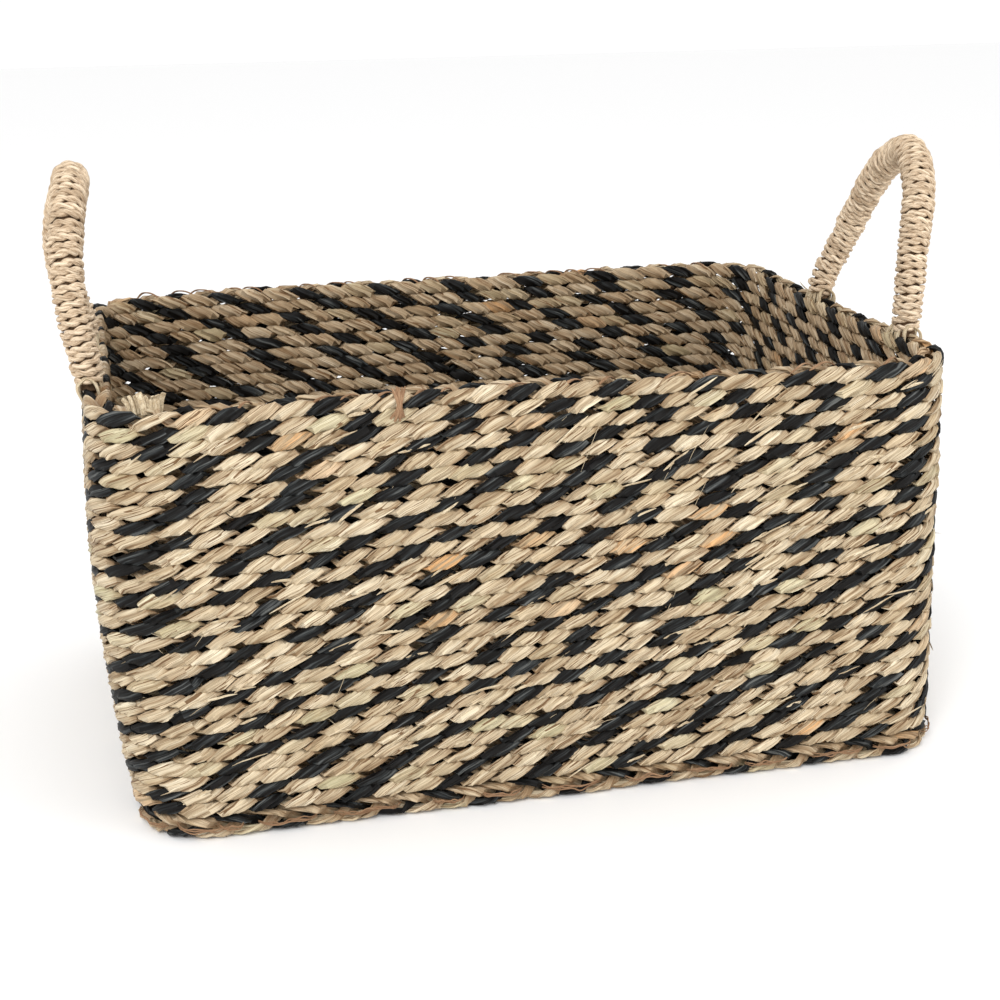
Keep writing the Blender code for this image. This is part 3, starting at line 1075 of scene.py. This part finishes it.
def straw_material():
    return fibre_material("loose straw", [
        (0.3, (0.36, 0.24, 0.13)),
        (0.45, (0.56, 0.45, 0.30)),
        (0.65, (0.76, 0.67, 0.50)),
    ], 0.6, 1500.0, 5200.0)


# ---------------------------------------- stage


def add_floor():
    size = 6.0
    mesh = bpy.data.meshes.new("floor")
    corners = [(-size, -size, 0), (size, -size, 0), (size, size, 0), (-size, size, 0)]
    mesh.from_pydata(corners, [], [(0, 1, 2, 3)])
    material, _, _, shader = new_nodes("pale floor")
    shader.inputs["Base Color"].default_value = (0.93, 0.93, 0.93, 1)
    shader.inputs["Roughness"].default_value = 0.9
    mesh.materials.append(material)
    floor = bpy.data.objects.new("floor", mesh)
    bpy.context.scene.collection.objects.link(floor)


def add_light(name, location, target, size, power):
    light = bpy.data.lights.new(name, "AREA")
    light.shape = "DISK"
    light.size = size
    light.energy = power
    item = bpy.data.objects.new(name, light)
    item.location = location
    item.rotation_mode = "QUATERNION"
    item.rotation_quaternion = (Vector(target) - Vector(location)).to_track_quat("-Z", "Y")
    bpy.context.scene.collection.objects.link(item)


def add_studio():
    world = bpy.data.worlds.new("studio")
    world.use_nodes = True
    background = world.node_tree.nodes["Background"]
    background.inputs["Color"].default_value = (1.0, 1.0, 1.0, 1)
    background.inputs["Strength"].default_value = 1.04
    bpy.context.scene.world = world
    target = (0.0, 0.0, 0.12)
    add_light("key", (-0.9, -1.7, 1.7), target, 0.9, 26)
    add_light("fill", (1.6, -1.2, 0.9), target, 1.4, 9)
    bpy.context.scene.view_settings.view_transform = "Standard"


def add_camera():
    camera = bpy.data.cameras.new("camera")
    camera.lens = CAMERA_LENS
    camera.sensor_width = 36.0
    rim_low, rim_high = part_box(WALL_TURNS[-1])
    rim_middle = Vector(((rim_low.x + rim_high.x) / 2, (rim_low.y + rim_high.y) / 2, 0.0))
    forward = Vector((
        math.sin(CAMERA_YAW) * math.cos(CAMERA_PITCH),
        math.cos(CAMERA_YAW) * math.cos(CAMERA_PITCH),
        -math.sin(CAMERA_PITCH),
    ))
    right = Vector((math.cos(CAMERA_YAW), -math.sin(CAMERA_YAW), 0.0))
    up = right.cross(forward)
    turned_right = right * math.cos(CAMERA_ROLL) + up * math.sin(CAMERA_ROLL)
    turned_up = up * math.cos(CAMERA_ROLL) - right * math.sin(CAMERA_ROLL)
    turn = Matrix((turned_right, turned_up, -forward)).transposed()
    item = bpy.data.objects.new("camera", camera)
    item.matrix_world = Matrix.Translation(rim_middle + CAMERA_FROM_RIM) @ turn.to_4x4()
    bpy.context.scene.collection.objects.link(item)
    bpy.context.scene.camera = item


# ---------------------------------------- the basket


def main():
    seagrass = seagrass_material()
    twine = twine_material()
    core = core_material()
    raffia = raffia_material()
    straw = straw_material()
    plait_width, wall_pitch, base_pitch = plait_sizes()
    for index, name in enumerate(WALL_TURNS):
        add_wall_turn(index, name, plait_width, wall_pitch, seagrass)
    for index, name in enumerate(BASE_TURNS):
        add_base_turn(index, name, plait_width, base_pitch, seagrass)
    for side in HANDLES:
        add_handle_core(side, core)
        add_handle_wrap(side, twine)
        for end in ("front", "rear"):
            add_lashing(side, end, straw)
    add_rim_stitches("front_rim_stitching", True, raffia)
    add_rim_stitches("rear_rim_stitching", False, raffia)
    add_rim_knot(raffia)
    add_base_stitches(raffia)
    add_plait_end(straw)
    add_loose_straws(straw)
    add_centre_strip(plait_width, base_pitch, seagrass)
    add_floor()
    add_studio()
    add_camera()


main()
